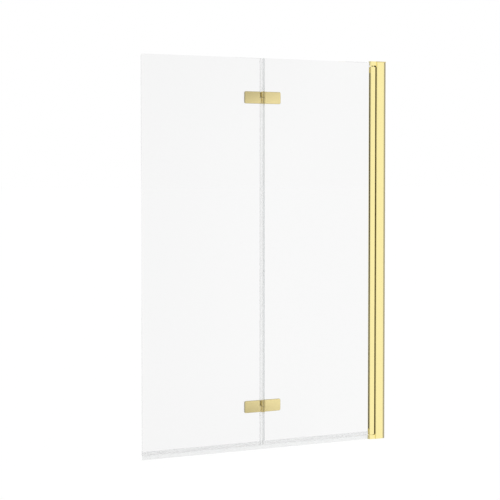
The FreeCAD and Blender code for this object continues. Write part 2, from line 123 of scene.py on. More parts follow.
# Ramps of more milk in clear plastic: axis, start, end and the milk added
FIN_MILK = ("Z", glass_foot + 0.8 * MM, glass_foot - 0.2 * MM, 0.26)
LEG_MILK = ("Y", -half_glass + 0.1 * MM, -half_glass - 0.1 * MM, 0.5)
BACK_MILK = ("Y", half_glass + 1.1 * MM, half_glass + 1.2 * MM, 0.02)

# Clear plastics: milk flat on and at a glance, lines and ramps
CLEAR_PLASTICS = {
    "clear_seal": ((0.15, 0.27), PANE_LINES, [FIN_MILK]),
    "fold_seal": ((0.16, 0.22), FOLD_LINES, [LEG_MILK, BACK_MILK]),
    "gasket": ((0.4, 0.55), PANE_LINES, []),
}
CLEAR_MOTTLE_SCALE = 60.0
CLEAR_MOTTLE_DEPTH = 0.03
CLEAR_ROUGHNESS = (0.18, 0.3)
CLEAR_RELIEF = 0.05
CLEAR_RELIEF_DEPTH = 0.02 * MM
GLANCE_BLEND = 0.5

# Glass: light that has been reflected more often than this inside a pane is let out
CAUGHT_REFLECTIONS = 1.5
GLASS_IOR = 1.45
GLASS_MOTTLE_SCALE = 9.0
GLASS_ROUGHNESS = (0.0, 0.012)
GLASS_RELIEF = 0.05
GLASS_RELIEF_DEPTH = 0.02 * MM

# Golds of a hinge leaf, in the order of its mesh's materials; the knuckle's, rim's and neck's golds are
# darker, as painted shade
LEAF_GOLDS = ("brushed_gold", "turned_gold", "satin_gold")
FACE_GOLD, KNUCKLE_SHADE_GOLD, RIM_SHADE_GOLD = range(3)

# Stage: the floor's paint, rays that see the white surround, and the cards' places in metres
FLOOR_TONE = 0.92
FLOOR_MOTTLE_SCALE = 0.6
FLOOR_MOTTLE_DEPTH = 0.01
FLOOR_ROUGHNESS = 0.9
FLOOR_GLOW_SHARE = 0.8
SIGHT = ("Is Camera Ray", "Is Glossy Ray", "Is Transmission Ray")
CAMERA_RANGE = 1000.0
CARD_REFLECTIONS = 1.0
CARD_FOOT = -1.5
CARD_TOP = 3.5
CARD_FOOT_FADE = (-1.15, -0.75)
CARD_TOP_FADE = (1.9, 2.6)
BACK_CARD_Y = 2.6
POST_CARD_X = (-2.0, -1.1)
HINGE_CARD_X = (-2.9, -2.052)
RIGHT_CARD_X = 2.6
RIGHT_CARD_Y = (-1.9, 3.1)
FRONT_CARD_Y = -3.0
FRONT_CARD_X = (-6.0, 1.65)

# The sRGB curve of screen colours
SCREEN_KNEE = 0.04045
SCREEN_SLOPE = 12.92
SCREEN_OFFSET = 0.055
SCREEN_POWER = 2.4


def from_screen(red, green, blue):
    """Scene-linear colour of a screen colour given from 0 to 255."""
    share = np.array([red, green, blue]) / 255
    curve = ((share + SCREEN_OFFSET) / (1 + SCREEN_OFFSET)) ** SCREEN_POWER
    linear = np.where(share <= SCREEN_KNEE, share / SCREEN_SLOPE, curve)
    return tuple(float(value) for value in linear)


def colour_property(name, description, screen_colour):
    return FloatVectorProperty(
        name=name,
        description=description,
        default=from_screen(*screen_colour),
        subtype="COLOR",
        min=0.0,
        max=1.0,
    )


def length_property(name, description, default):
    return FloatProperty(name=name, description=description, default=default, unit="LENGTH", precision=5)


def place_property(name, description, default):
    return FloatVectorProperty(
        name=name, description=description, default=default, subtype="XYZ", unit="LENGTH", precision=5
    )


def angle_property(name, description, degrees):
    return FloatProperty(name=name, description=description, default=math.radians(degrees), subtype="ANGLE")


def share_property(name, description, default):
    return FloatProperty(
        name=name, description=description, default=default, subtype="FACTOR", min=0.0, max=1.0
    )


class BathScreenColours(PropertyGroup):
    """Colours of the finishes."""

    polished_gold: colour_property("Polished gold", "Post, jamb, collar and pivot blocks", (255, 241, 173))
    # Painted shade: the satin gold's darker colour stands in for the shade on the recessed wall channel and
    # on the hinges' rims and necks; its roughness is real
    satin_gold: colour_property("Satin gold", "Wall channel, rims and necks of hinges", (190, 180, 142))
    brushed_gold: colour_property("Brushed gold", "Hinge leaves, back plates, thrust washer", (254, 237, 175))
    # Painted shade: the knuckles' darker gold stands in for the shade that falls on them; their roughness is
    # real
    turned_gold: colour_property("Turned gold", "Knuckles of the hinges", (219, 203, 147))
    glass: colour_property("Glass", "Tint of light that has passed a pane", (248, 248, 248))
    clear_seal: colour_property("Clear seal", "Soft clear plastic under the panes", (250, 251, 251))
    fold_seal: colour_property("Fold seal", "Soft clear plastic between the panes", (238, 240, 240))
    # Painted shade: this dark brown stands in for the shade in the gaps beside jamb and post, where real seal
    # strips sit, and in the slits between knuckle halves
    dark_seal: colour_property("Dark seal", "Strips in jamb and post, hinge washers", (62, 54, 30))
    gasket: colour_property("Gasket", "Clear pads between hinge and glass", (214, 214, 210))
    nylon: colour_property("Nylon", "Bushes and sleeves", (230, 230, 225))
    cap_plastic: colour_property("Cap plastic", "Top cap and caps over the jamb screws", (226, 207, 140))
    steel: colour_property("Steel", "Pins and screws", (190, 190, 187))


class BathScreenHinge(PropertyGroup):
    """Shape of a hinge leaf."""

    thickness: length_property("Thickness", "Leaf from its back to its front ridge", 5 * MM)
    neck_length: length_property("Neck length", "Fold axis to the plate", 12.3 * MM)
    neck_thickness: length_property("Neck thickness", "Recessed neck from the leaf's back", 3 * MM)
    root_reach: length_property("Root reach", "Fold axis to the start of a level plate", 3.6 * MM)
    tongue_reach: length_property("Tongue reach", "Fold axis to the other half's tongue", 7.4 * MM)
    far_corner: length_property("Far corner", "Corner radius at the free end", 6 * MM)
    near_corner: length_property("Near corner", "Corner radius beside the knuckle", 0.9 * MM)
    edge_round: length_property("Edge round", "Rounding of the front rim", 1.2 * MM)
    crown: length_property("Crown", "Fall of the front from mid height to its upper and lower rim", 0.45 * MM)
    taper: length_property("Taper", "Fall of the front from the knuckle to the free end", 1.1 * MM)
    taper_power: FloatProperty(name="Taper power", description="How late the taper falls", default=1.5)
    middle_share: share_property("Middle share", "Meeting point of the front's rings below mid height", 0.25)
    pin_radius: length_property("Pin radius", "Bore of the knuckle", 3.05 * MM)
    washer: length_property("Washer", "Gap between the two knuckle halves", 1 * MM)
    knuckle_round: length_property("Knuckle round", "Rounding at a knuckle's outer end", 0.9 * MM)
    knuckle_edge: length_property("Knuckle edge", "Rounding of a knuckle's other edges", 0.225 * MM)
    neck_round: length_property("Neck round", "Rounding of the recessed neck", 0.6 * MM)
    neck_start: length_property("Neck start", "Fold axis to the neck, inside the knuckle", 4.1 * MM)
    outline_points: IntProperty(name="Outline points", description="Points round a plate", default=360)


class BathScreenSeals(PropertyGroup):
    """Shape of the clear seals and of the strip on the jamb."""

    glass_clearance: length_property("Glass clearance", "Film of air between a leg and the glass", 0.05 * MM)
    bottom_wall: length_property("Bottom wall", "Leg of a bottom seal", 1 * MM)
    bottom_web: length_property("Bottom web", "Web under the pane", 1.5 * MM)
    fin_root: length_property("Fin root", "Bottom fin at the web", 1.2 * MM)
    fin_tip: length_property("Fin tip", "Bottom fin at its free edge", 0.8 * MM)
    middle_wall: length_property("Middle wall", "Leg and fin of the middle seal", 0.8 * MM)
    middle_leg: length_property("Middle leg", "Leg of the middle seal along the pane", 5.8 * MM)
    soft_edge: length_property("Soft edge", "Rounding of the seals' edges", 0.3 * MM)
    bed_edge: length_property("Bed edge", "Rounding of the seals' inner edges beside the glass", 0.1 * MM)
    fold_edge: length_property("Fold edge", "Rounding between the middle seal's web and fin", 0.15 * MM)
    seal_stop: length_property("Seal stop", "Gap between a bottom seal and the middle seal's legs", 0.5 * MM)
    pad_film: length_property("Pad film", "Film of air on each side of a hinge's pads", 0.05 * MM)
    pad_corner: length_property("Pad corner", "Corner radius of a hinge's pads", 4 * MM)
    rib_depth: length_property("Rib depth", "Grooves along the jamb's strip", 0.4 * MM)
    rib_count: IntProperty(name="Rib count", description="Ribs along the jamb's strip", default=4)


class BathScreenStage(PropertyGroup):
    """Camera, floor and light."""

    camera_place: place_property("Camera place", "Eye point", (-3.4979, -5.1166, 0.9904))
    camera_yaw: angle_property("Camera yaw", "Turn from straight on", 29.7582)
    camera_pitch: angle_property("Camera pitch", "Tilt below the horizon", 2.6645)
    camera_lens: FloatProperty(
        name="Lens", description="Focal length in millimetres", default=119.641, unit="CAMERA"
    )
    floor_drop: length_property("Floor drop", "Floor below the bath rim", 1.2)
    floor_size: length_property("Floor size", "Side of the square floor", 400.0)
    world_light: share_property("World light", "Even light on the object", 0.85)
    floor_glow: FloatProperty(
        name="Floor glow", description="Brightness that makes the floor white", default=1.06
    )
    key_power: FloatProperty(
        name="Key power", description="Soft lamp at the right", default=12.0, unit="POWER"
    )
    key_width: length_property("Key width", "Lamp from side to side", 0.6)
    key_height: length_property("Key height", "Lamp from foot to top", 1.2)
    key_place: place_property("Key place", "Middle of the lamp", (1.75, -2.0, 0.6))
    key_turn: angle_property("Key turn", "Turn of the lamp towards the object", 48)
    post_dim: share_property("Post dim", "Loss of brightness in the post's side", 0.47)
    hinge_dim: share_property("Hinge dim", "Loss of brightness in the leaves' sides", 0.75)
    right_dim: share_property("Right dim", "Loss of brightness at the right", 0.45)
    front_dim: share_property("Front dim", "Loss of brightness at the front left", 0.5)
    edge_dim: share_property("Edge dim", "Further loss high and low on the front", 0.55)


def rounded_outline(corners, radii, steps):
    """Closed outline whose corners are arcs.

    A corner P with unit directions a and b to its neighbours and radius r becomes
    P + r (a + b) - r (b cos t + a sin t) for t from 0 to a quarter turn.
    """
    corner = np.asarray(corners, float)
    behind = np.roll(corner, 1, axis=0) - corner
    ahead = np.roll(corner, -1, axis=0) - corner
    behind /= np.linalg.norm(behind, axis=1, keepdims=True)
    ahead /= np.linalg.norm(ahead, axis=1, keepdims=True)
    radius = np.broadcast_to(radii, len(corner))[:, None, None]
    turn = np.linspace(0, np.pi / 2, steps)[None, :, None]
    centre = corner[:, None] + radius * (behind + ahead)[:, None]
    arc = centre - radius * (ahead[:, None] * np.cos(turn) + behind[:, None] * np.sin(turn))
    return arc.reshape(-1, 2)


def even_outline(outline, count):
    """The same closed outline with points at equal steps of its length."""
    closed = np.vstack([outline, outline[:1]])
    run = np.linalg.norm(np.diff(closed, axis=0), axis=1)
    length = np.concatenate([[0], np.cumsum(run)])
    place = np.linspace(0, length[-1], count, endpoint=False)
    return np.stack([np.interp(place, length, closed[:, axis]) for axis in (0, 1)], axis=-1)


def outward(outline):
    """Unit normals of an outline that runs anticlockwise: the tangent turned by a quarter turn."""
    tangent = np.roll(outline, -1, axis=0) - np.roll(outline, 1, axis=0)
    normal = np.stack([tangent[:, 1], -tangent[:, 0]], axis=-1)
    return normal / np.linalg.norm(normal, axis=1, keepdims=True)


def ring_faces(rings, count, wrapped):
    """Quads between neighbouring rings of points, each ring closed on itself."""
    strips = rings if wrapped else rings - 1
    ring = np.arange(strips)[:, None]
    here = np.arange(count)[None, :]
    following = (here + 1) % count
    upper = (ring + 1) % rings
    quads = (ring * count + here, ring * count + following, upper * count + following, upper * count + here)
    return np.stack(quads, axis=-1).reshape(-1, 4)


def along_x(outline, x_low, x_high):
    """An outline in y and z carried straight from one x to another."""
    x = np.array([x_low, x_high])[:, None]
    count = len(outline)
    return np.stack([np.repeat(x, count, axis=1), *np.repeat(outline.T[:, None], 2, axis=1)], axis=-1)


def along_z(outline, z_low, z_high):
    """An outline in x and y carried straight from one z to another."""
    z = np.array([z_low, z_high])[:, None]
    count = len(outline)
    return np.stack([*np.repeat(outline.T[:, None], 2, axis=1), np.repeat(z, count, axis=1)], axis=-1)


def make_piece(name, shells, materials, body, slot, *nodes):
    """Mesh object of one or more closed shells that rides on a body and stands for CAD nodes.

    A shell is an array of rings of points, a word for its ends: capped, wrapped or pole, and the place of
    its material among the materials.
    """
    vertices = np.concatenate([points.reshape(-1, 3) for points, ends, paint in shells])
    faces = []
    paints = []
    start = 0
    for points, ends, paint in shells:
        rings, count = points.shape[:2]
        faces += (ring_faces(rings, count, ends == "wrapped") + start).tolist()
        if ends == "capped":
            last = start + (rings - 1) * count
            faces.append(list(range(start, start + count))[::-1])
            faces.append(list(range(last, last + count)))
        start += rings * count
        paints += [paint] * (len(faces) - len(paints))
    mesh = bpy.data.meshes.new(name)
    mesh.from_pydata(vertices.tolist(), [], faces)
    mesh.polygons.foreach_set("material_index", paints)
    weld = bmesh.new()
    weld.from_mesh(mesh)
    bmesh.ops.remove_doubles(weld, verts=weld.verts, dist=WELD_GAP)
    bmesh.ops.recalc_face_normals(weld, faces=weld.faces)
    weld.to_mesh(mesh)
    weld.free()
    mesh.shade_smooth()
    mesh.set_sharp_from_angle(angle=SHARP_ANGLE)
    for material in materials:
        mesh.materials.append(finish(material))
    piece = bpy.data.objects.new(name, mesh)
    bpy.context.scene.collection.objects.link(piece)
    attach(piece, body)
    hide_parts(*nodes)


def new_node(tree, kind, **values):
    """Node of a tree with settings by attribute name and inputs by socket name."""
    node = tree.nodes.new(kind)
    for key, value in values.items():
        if hasattr(node, key):
            setattr(node, key, value)
        else:
            node.inputs[key.replace("_", " ")].default_value = value
    return node


def effect_group(name, inputs):
    """Empty shader node group with a Tone output between 0 and 1."""
    tree = bpy.data.node_groups.get(name)
    if tree:
        return tree, None, None
    tree = bpy.data.node_groups.new(name, "ShaderNodeTree")
    for label, kind in inputs:
        tree.interface.new_socket(label, in_out="INPUT", socket_type=kind)
    tree.interface.new_socket("Tone", in_out="OUTPUT", socket_type="NodeSocketFloat")
    return tree, tree.nodes.new("NodeGroupInput"), tree.nodes.new("NodeGroupOutput")


def drawn_lines_group():
    """Fine lines of drawn or brushed metal: noise on Object coordinates stretched by Scale."""
    tree, given, result = effect_group("drawn_lines", [("Scale", "NodeSocketVector")])
    if given:
        place = tree.nodes.new("ShaderNodeTexCoord")
        stretch = new_node(tree, "ShaderNodeVectorMath", operation="MULTIPLY")
        noise = new_node(tree, "ShaderNodeTexNoise", Scale=1.0, Detail=3.0, Roughness=0.6)
        tree.links.new(place.outputs["Object"], stretch.inputs[0])
        tree.links.new(given.outputs["Scale"], stretch.inputs[1])
        tree.links.new(stretch.outputs[0], noise.inputs["Vector"])
        tree.links.new(noise.outputs["Fac"], result.inputs["Tone"])
    return tree


def slow_mottle_group():
    """Slow change of tone over a surface: soft noise on Object coordinates."""
    tree, given, result = effect_group("slow_mottle", [("Scale", "NodeSocketFloat")])
    if given:
        place = tree.nodes.new("ShaderNodeTexCoord")
        noise = new_node(tree, "ShaderNodeTexNoise", Detail=4.0, Roughness=0.5)
        tree.links.new(place.outputs["Object"], noise.inputs["Vector"])
        tree.links.new(given.outputs["Scale"], noise.inputs["Scale"])
        tree.links.new(noise.outputs["Fac"], result.inputs["Tone"])
    return tree


def place_group(tree, group, scale):
    """A group node with its Scale set."""
    node = tree.nodes.new("ShaderNodeGroup")
    node.node_tree = group
    node.inputs["Scale"].default_value = scale
    return node


def toned_colour(tree, tone, colour, depth, socket):
    """Feeds a colour socket with the colour, darkened by depth where the tone is low."""
    mix = new_node(tree, "ShaderNodeMix", data_type="RGBA")
    dark = [value * (1 - depth) for value in colour]
    mix.inputs["A"].default_value = (*dark, 1)
    mix.inputs["B"].default_value = (*colour, 1)
    tree.links.new(tone, mix.inputs["Factor"])
    tree.links.new(mix.outputs["Result"], socket)


def toned_value(tree, tone, low, high, socket):
    """Feeds a socket with a value that runs from low to high with the tone."""
    spread = new_node(tree, "ShaderNodeMapRange", To_Min=low, To_Max=high)
    tree.links.new(tone, spread.inputs["Value"])
    tree.links.new(spread.outputs["Result"], socket)


def relief(tree, tone, strength, depth, socket):
    """Feeds a normal socket with a bump whose height is the tone."""
    bump = new_node(tree, "ShaderNodeBump", Strength=strength, Distance=depth)
    tree.links.new(tone, bump.inputs["Height"])
    tree.links.new(bump.outputs["Normal"], socket)


def new_material(name):
    """Node material with its tree and its Principled shader."""
    material = bpy.data.materials.new(name)
    material.use_nodes = True
    tree = material.node_tree
    return material, tree, tree.nodes["Principled BSDF"]


def metal(name, colour, roughness, line_scale, depth):
    """Metal with drawn lines in its gloss and relief and a slow change of tone."""
    material, tree, shader = new_material(name)
    shader.inputs["Metallic"].default_value = 1.0
    lines = place_group(tree, drawn_lines_group(), line_scale).outputs["Tone"]
    mottle = place_group(tree, slow_mottle_group(), METAL_MOTTLE_SCALE).outputs["Tone"]
    toned_colour(tree, mottle, colour, METAL_MOTTLE_DEPTH, shader.inputs["Base Color"])
    toned_value(tree, lines, *roughness, shader.inputs["Roughness"])
    relief(tree, lines, METAL_RELIEF, depth, shader.inputs["Normal"])
    return material


def plastic(name, colour, roughness, grain, depth):
    """Moulded plastic or rubber with a fine grain and a slow change of tone."""
    material, tree, shader = new_material(name)
    mottle = place_group(tree, slow_mottle_group(), PLASTIC_MOTTLE_SCALE).outputs["Tone"]
    fine = place_group(tree, slow_mottle_group(), grain).outputs["Tone"]
    toned_colour(tree, mottle, colour, PLASTIC_MOTTLE_DEPTH, shader.inputs["Base Color"])
    toned_value(tree, fine, *roughness, shader.inputs["Roughness"])
    relief(tree, fine, PLASTIC_RELIEF, depth, shader.inputs["Normal"])
    return material


def light_passes(tree, shader, tint):
    """Lets lamp light through a clear shader, and lets out light that is caught between its faces."""
    path = tree.nodes.new("ShaderNodeLightPath")
    caught = new_node(tree, "ShaderNodeMath", operation="GREATER_THAN")
    caught.inputs[1].default_value = CAUGHT_REFLECTIONS
    passes = new_node(tree, "ShaderNodeMath", operation="MAXIMUM")
    open_air = new_node(tree, "ShaderNodeBsdfTransparent", Color=(*tint, 1))
    mix = tree.nodes.new("ShaderNodeMixShader")
    tree.links.new(path.outputs["Glossy Depth"], caught.inputs[0])
    tree.links.new(path.outputs["Is Shadow Ray"], passes.inputs[0])
    tree.links.new(caught.outputs[0], passes.inputs[1])
    tree.links.new(passes.outputs[0], mix.inputs["Fac"])
    tree.links.new(shader.outputs["BSDF"], mix.inputs[1])
    tree.links.new(open_air.outputs["BSDF"], mix.inputs[2])
    tree.links.new(mix.outputs["Shader"], tree.nodes["Material Output"].inputs["Surface"])


def clear_glass(colour):
    """Float glass: full transmission, faint haze and the slight draw of the sheet."""
    material, tree, shader = new_material("clear_glass")
    shader.inputs["Base Color"].default_value = (*colour, 1)
    shader.inputs["Transmission Weight"].default_value = 1.0
    shader.inputs["IOR"].default_value = GLASS_IOR
    mottle = place_group(tree, slow_mottle_group(), GLASS_MOTTLE_SCALE).outputs["Tone"]
    toned_value(tree, mottle, *GLASS_ROUGHNESS, shader.inputs["Roughness"])
    relief(tree, mottle, GLASS_RELIEF, GLASS_RELIEF_DEPTH, shader.inputs["Normal"])
    light_passes(tree, shader, colour)
    return material


def added_ramp(tree, socket, axis, start, end, extra):
    """Adds up to extra to what reaches a socket, from start to end along an axis.

    It gives back the input that takes the rest.
    """
    place = tree.nodes.new("ShaderNodeTexCoord")
    split = tree.nodes.new("ShaderNodeSeparateXYZ")
    ramp = new_node(tree, "ShaderNodeMapRange", From_Min=start, From_Max=end, To_Min=0.0, To_Max=extra)
    total = new_node(tree, "ShaderNodeMath", operation="ADD")
    tree.links.new(place.outputs["Object"], split.inputs[0])
    tree.links.new(split.outputs[axis], ramp.inputs["Value"])
    tree.links.new(ramp.outputs["Result"], total.inputs[1])
    tree.links.new(total.outputs[0], socket)
    return total.inputs[0]


def clear_plastic(name, colour, milk, line_scale, ramps):
    """Soft clear plastic, clearest flat on and milkiest at a glance, with ramps of more milk if given."""
    material, tree, shader = new_material(name)
    mottle = place_group(tree, slow_mottle_group(), CLEAR_MOTTLE_SCALE).outputs["Tone"]
    lines = place_group(tree, drawn_lines_group(), line_scale).outputs["Tone"]
    toned_colour(tree, mottle, colour, CLEAR_MOTTLE_DEPTH, shader.inputs["Base Color"])
    toned_value(tree, lines, *CLEAR_ROUGHNESS, shader.inputs["Roughness"])
    relief(tree, lines, CLEAR_RELIEF, CLEAR_RELIEF_DEPTH, shader.inputs["Normal"])
    glance = new_node(tree, "ShaderNodeLayerWeight", Blend=GLANCE_BLEND)
    socket = shader.inputs["Alpha"]
    for ramp in ramps:
        socket = added_ramp(tree, socket, *ramp)
    toned_value(tree, glance.outputs["Facing"], *milk, socket)
    return material


def make_finishes(colours):
    """Every finish by its name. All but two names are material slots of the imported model."""
    finishes = {"clear_glass": clear_glass(colours.glass)}
    for make, looks in ((metal, METALS), (plastic, PLASTICS), (clear_plastic, CLEAR_PLASTICS)):
        for name, look in looks.items():
            finishes[name] = make(name, getattr(colours, name), *look)
    return finishes


def finish(name):
    """A finish that has been made."""
    return bpy.data.materials[name]


class BATHSCREEN_OT_finishes(Operator):
    """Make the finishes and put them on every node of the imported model"""

    bl_idname = "bath_screen.finishes"
    bl_label = "Finishes"

    def execute(self, context):
        slots = {name: node.data.materials[0].name for name, node in frame["nodes"].items()}
        for material in list(bpy.data.materials):
            material.name = "packed_" + material.name
        finishes = make_finishes(context.scene.bath_screen_colours)
        # Painted shadow: the washers take the dark seal so that the slit between the knuckle halves looks
        # shaded
        for level in ("upper", "lower"):
            slots[level + "_hinge_washer"] = "dark_seal"
        for name, slot in slots.items():
            materials = frame["nodes"][name].data.materials
            materials.clear()
            materials.append(finishes[slot])
        return {"FINISHED"}


def leaf_outline(hinge, reach, half, up):
    """Outline of a leaf's plate in distance from the fold axis and height from its middle.

    On its own knuckle's half the plate starts at a recessed neck if up, and inside the knuckle if
    not. On the other half it has a tongue.
    """
    own = half if up else -half
    start = hinge.neck_length if up else hinge.root_reach
    step = 0 if up else -hinge.washer / 2
    corners = [
        (reach, -own),
        (reach, own),
        (start, own),
        (start, step),
        (hinge.tongue_reach, step),
        (hinge.tongue_reach, -own),
    ]
    near = hinge.near_corner
    radii = [hinge.far_corner, hinge.far_corner, near, near, near, near]
    outline = rounded_outline(corners, radii, PLATE_CORNER_POINTS)
    outline = even_outline(outline, hinge.outline_points)
    return outline if up else outline[::-1]


def leaf_plate(hinge, outline, reach, half, back):
    """Rings of points over a plate's front, and from there round the rim to the middle of its back.

    The front stands at ridge + crown (z / half)^2 + taper (a / reach)^p, where a is the distance
    from the fold axis and p the taper's power. The rim is a quarter circle, and the back is flat.
    """
    ridge = back - hinge.thickness
    middle = np.array([(hinge.neck_length + reach) / 2, -half * hinge.middle_share])
    normal = outward(outline)
    inset = outline - normal * hinge.edge_round
    share = np.linspace(0, 1, PLATE_FRONT_RINGS)[:, None, None]
    front = middle + share * (inset - middle)
    turn = np.linspace(0, np.pi / 2, PLATE_RIM_RINGS)[1:, None, None]
    rim = outline - normal * hinge.edge_round * (1 - np.sin(turn))
    flat = np.concatenate([front, rim])
    drop = np.concatenate([np.zeros(len(front)), hinge.edge_round * (1 - np.cos(turn[:, 0, 0]))])
    crown = hinge.crown * (flat[..., 1] / half) ** 2
    taper = hinge.taper * (flat[..., 0] / reach) ** hinge.taper_power
    depth = ridge + crown + taper + drop[:, None]
    rear = middle + np.linspace(1, 0, PLATE_BACK_RINGS)[:, None, None] * (outline - middle)
    flat = np.concatenate([flat, rear])
    depth = np.concatenate([depth, np.full(rear.shape[:2], back)])
    plate = np.stack([flat[..., 0], depth, flat[..., 1]], axis=-1)
    return plate[: len(front)], plate[len(front) - 1 :]


def leaf_knuckle(hinge, radius, low, high, up):
    """Rings of a knuckle half: a rounded section in radius and height, turned about the fold axis."""
    corners = [(hinge.pin_radius, low), (radius, low), (radius, high), (hinge.pin_radius, high)]
    edge = hinge.knuckle_edge
    end = hinge.knuckle_round
    radii = [edge, edge, end, edge] if up else [edge, end, edge, edge]
    section = rounded_outline(corners, radii, KNUCKLE_CORNER_POINTS)
    angle = np.linspace(0, 2 * np.pi, KNUCKLE_STEPS, endpoint=False)[:, None]
    across = section[None, :, 0] * np.cos(angle)
    deep = fold_y + section[None, :, 0] * np.sin(angle)
    return np.stack([across, deep, np.broadcast_to(section[None, :, 1], across.shape)], axis=-1)


def leaf_neck(hinge, back, low, high):
    """Rings of the recessed neck: a rounded bar in y and z, carried from the knuckle into the plate."""
    front = back - hinge.neck_thickness
    corners = [(front, low), (back, low), (back, high), (front, high)]
    outline = rounded_outline(corners, hinge.neck_round, NECK_CORNER_POINTS)
    return along_x(outline, hinge.neck_start, hinge.neck_length + hinge.edge_round)


class BATHSCREEN_OT_hinge_leaves(Operator):
    """Build the crowned leaves of both hinges"""

    bl_idname = "bath_screen.hinge_leaves"
    bl_label = "Hinge leaves"

    def execute(self, context):
        hinge = context.scene.bath_screen_hinge
        for level in ("upper", "lower"):
            for pane, side in (("outer", -1), ("inner", 1)):
                start = level + "_" + pane + "_"
                low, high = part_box(start + "leaf")
                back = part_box(start + "gaskets")[0].y
                up = pane == "outer"
                middle, half = (low.z + high.z) / 2, (high.z - low.z) / 2
                reach = max(abs(low.x - fold_x), abs(high.x - fold_x))
                radius = min(abs(low.x - fold_x), abs(high.x - fold_x))
                own = (hinge.washer / 2, half) if up else (-half, -hinge.washer / 2)
                outline = leaf_outline(hinge, reach, half, up)
                face, rim = leaf_plate(hinge, outline, reach, half, back)
                # The knuckle, the rim and the neck take darker golds: painted shade
                shells = [
                    (face, "pole", FACE_GOLD),
                    (rim, "pole", RIM_SHADE_GOLD),
                    (leaf_knuckle(hinge, radius, own[0], own[1], up), "wrapped", KNUCKLE_SHADE_GOLD),
                ]
                if up:
                    neck = leaf_neck(hinge, back, own[0], own[1] - hinge.edge_round)
                    shells.append((neck, "capped", RIM_SHADE_GOLD))
                place = np.array([fold_x, 0, middle])
                shells = [(points * (side, 1, 1) + place, ends, paint) for points, ends, paint in shells]
                name = start + "leaf_crowned"
                make_piece(name, shells, LEAF_GOLDS, pane + "_panel", "brushed_gold", start + "leaf")
        return {"FINISHED"}


def gasket_pad(seals, low, high, front, back):
    """Rings of a soft pad, from the middle of its front round the rim to the middle of its back.

    It is a rounded rectangle in x and z. Its rim is a half circle: the outline less h (1 - cos t) along
    its normal, at the pad's mid depth + h sin t, where h is half the thickness.
    """
    corners = [(low.x, low.z), (high.x, low.z), (high.x, high.z), (low.x, high.z)]
    outline = rounded_outline(corners, seals.pad_corner, PAD_CORNER_POINTS)
    outline = even_outline(outline, PAD_OUTLINE_POINTS)
    half = (back - front) / 2 - seals.pad_film
    turn = np.linspace(-np.pi / 2, np.pi / 2, PAD_RIM_RINGS)[:, None, None]
    rim = outline - outward(outline) * half * (1 - np.cos(turn))
    middle = outline.mean(axis=0)
    share = np.linspace(0, 1, PAD_FACE_RINGS)[:-1, None, None]
    front_face = middle + share * (rim[0] - middle)
    back_face = middle + share[::-1] * (rim[-1] - middle)
    flat = np.concatenate([front_face, rim, back_face])
    ends = np.ones(len(share))
    rise = np.concatenate([-ends, np.sin(turn[:, 0, 0]), ends])
    depth = np.broadcast_to(((front + back) / 2 + half * rise)[:, None], flat.shape[:2])
    return np.stack([flat[..., 0], depth, flat[..., 1]], axis=-1)


class BATHSCREEN_OT_hinge_gaskets(Operator):
    """Build the soft pads between hinge and glass"""

    bl_idname = "bath_screen.hinge_gaskets"
    bl_label = "Hinge gaskets"

    def execute(self, context):
        seals = context.scene.bath_screen_seals
        for start in ("upper_outer", "upper_inner", "lower_outer", "lower_inner"):
            node = start + "_gaskets"
            low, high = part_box(node)
            plate_low, plate_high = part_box(start + "_back_plate")
            shells = [
                (gasket_pad(seals, low, high, low.y, -half_glass), "pole", 0),
                (gasket_pad(seals, plate_low, plate_high, half_glass, high.y), "pole", 0),
            ]
            body = start.split("_")[1] + "_panel"
            make_piece(node + "_soft", shells, ["gasket"], body, "gasket", node)
        return {"FINISHED"}


def bottom_section(seals, low, high, legs):
    """Outline in y and z of a bottom seal: web, tapered fin and, if asked, two legs."""
    outer = half_glass + seals.bottom_wall
    inner = half_glass + seals.glass_clearance
    bed = glass_foot - seals.glass_clearance
    web = glass_foot - seals.bottom_web
    edge = seals.soft_edge
    corners = [
        (-outer, web, edge),
        (-seals.fin_root / 2, web, edge),
        (-seals.fin_tip / 2, low.z, edge),
        (seals.fin_tip / 2, low.z, edge),
        (seals.fin_root / 2, web, edge),
        (outer, web, edge),
    ]
    if legs:
        corners += [
            (outer, high.z, edge),
            (inner, high.z, edge),
            (inner, bed, seals.bed_edge),
            (-inner, bed, seals.bed_edge),
            (-inner, high.z, edge),
            (-outer, high.z, edge),
        ]
    else:
        corners += [(outer, bed, edge), (-outer, bed, edge)]
    corners = np.array(corners)
    return rounded_outline(corners[:, :2], corners[:, 2], SEAL_CORNER_POINTS)


class BATHSCREEN_OT_bottom_seals(Operator):
    """Build the soft seal under each pane"""

    bl_idname = "bath_screen.bottom_seals"
    bl_label = "Bottom seals"

    def execute(self, context):
        seals = context.scene.bath_screen_seals
        for pane, glass in (("outer", outer_pane), ("inner", inner_pane)):
            node = pane + "_bottom_seal"
            low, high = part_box(node)
            leg_low = max(low.x, glass[0].x)
            with_legs = bottom_section(seals, low, high, True)
            shells = [(along_x(with_legs, leg_low, high.x), "capped", 0)]
            if low.x < leg_low:
                no_legs = bottom_section(seals, low, high, False)
                shells.append((along_x(no_legs, low.x, leg_low), "capped", 0))
            make_piece(node + "_soft", shells, ["clear_seal"], pane + "_panel", "clear_seal", node)
        return {"FINISHED"}


